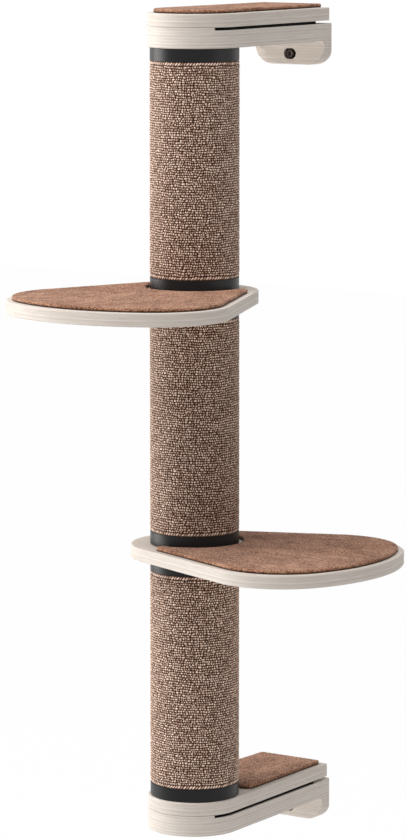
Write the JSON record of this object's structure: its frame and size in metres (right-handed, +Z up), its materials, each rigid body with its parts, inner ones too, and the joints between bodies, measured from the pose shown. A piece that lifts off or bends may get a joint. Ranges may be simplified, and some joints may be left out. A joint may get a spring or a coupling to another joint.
{
  "type": "wall mounted cat tree",
  "caption": "Wall mounted cat tree: a sisal column between wooden wall arms, with carpeted pick-shaped platforms that swivel about the column.",
  "frame": {"origin": "middle of the lower bracket's flat wall face", "axes": "+Z up along the column, +Y into the wall, +X along the wall to the right as seen from the room"},
  "size_m": [0.451, 0.599, 1.1457],
  "materials": {
    "whitewashed_birch_plywood": "matt whitewash over birch plywood",
    "brown_carpet": "short pile carpet",
    "woven_sisal": "woven sisal",
    "paper_tube": "wound paper board",
    "black_plastic": "satin moulded plastic",
    "zinc_steel": "zinc plated",
    "white_nylon": "smooth moulded",
    "dark_steel": "black oxide"
  },
  "bodies": {
    "wall_frame": {"foot_bolt": "zinc_steel", "foot_bolt_washer": "zinc_steel", "head_bolt": "zinc_steel", "head_bolt_washer": "zinc_steel", "lower_arm_mat": "brown_carpet", "lower_board": "whitewashed_birch_plywood", "lower_board_screws": "zinc_steel", "lower_bracket": "whitewashed_birch_plywood", "lower_core_tube": "paper_tube", "lower_foot_cap": "black_plastic", "lower_head_cap": "black_plastic", "lower_joining_stud": "zinc_steel", "lower_sisal_sleeve": "woven_sisal", "lower_spacer": "black_plastic", "lower_swivel_bush": "white_nylon", "lower_wall_screw": "dark_steel", "lower_wall_washer": "dark_steel", "middle_core_tube": "paper_tube", "middle_foot_cap": "black_plastic", "middle_head_cap": "black_plastic", "middle_sisal_sleeve": "woven_sisal", "threaded_inserts": "zinc_steel", "upper_arm_mat": "brown_carpet", "upper_board": "whitewashed_birch_plywood", "upper_board_screws": "zinc_steel", "upper_bracket": "whitewashed_birch_plywood", "upper_core_tube": "paper_tube", "upper_foot_cap": "black_plastic", "upper_head_cap": "black_plastic", "upper_joining_stud": "zinc_steel", "upper_sisal_sleeve": "woven_sisal", "upper_spacer": "black_plastic", "upper_swivel_bush": "white_nylon", "upper_wall_screw": "dark_steel", "upper_wall_washer": "dark_steel"},
    "lower_platform_body": {"lower_platform": "whitewashed_birch_plywood", "lower_platform_mat": "brown_carpet", "lower_slip_washers": "white_nylon"},
    "upper_platform_body": {"upper_platform": "whitewashed_birch_plywood", "upper_platform_mat": "brown_carpet", "upper_slip_washers": "white_nylon"}
  },
  "joints": [
    {"name": "lower_platform_swivel", "type": "hinge", "parent": "wall_frame", "child": "lower_platform_body", "pos_m": [0, -0.255, 0.38595], "axis": [0, 0, 1], "range_deg": [-210, 30]},
    {"name": "upper_platform_swivel", "type": "hinge", "parent": "wall_frame", "child": "upper_platform_body", "pos_m": [0, -0.255, 0.73035], "axis": [0, 0, 1], "range_deg": [-120, 120]}
  ]
}
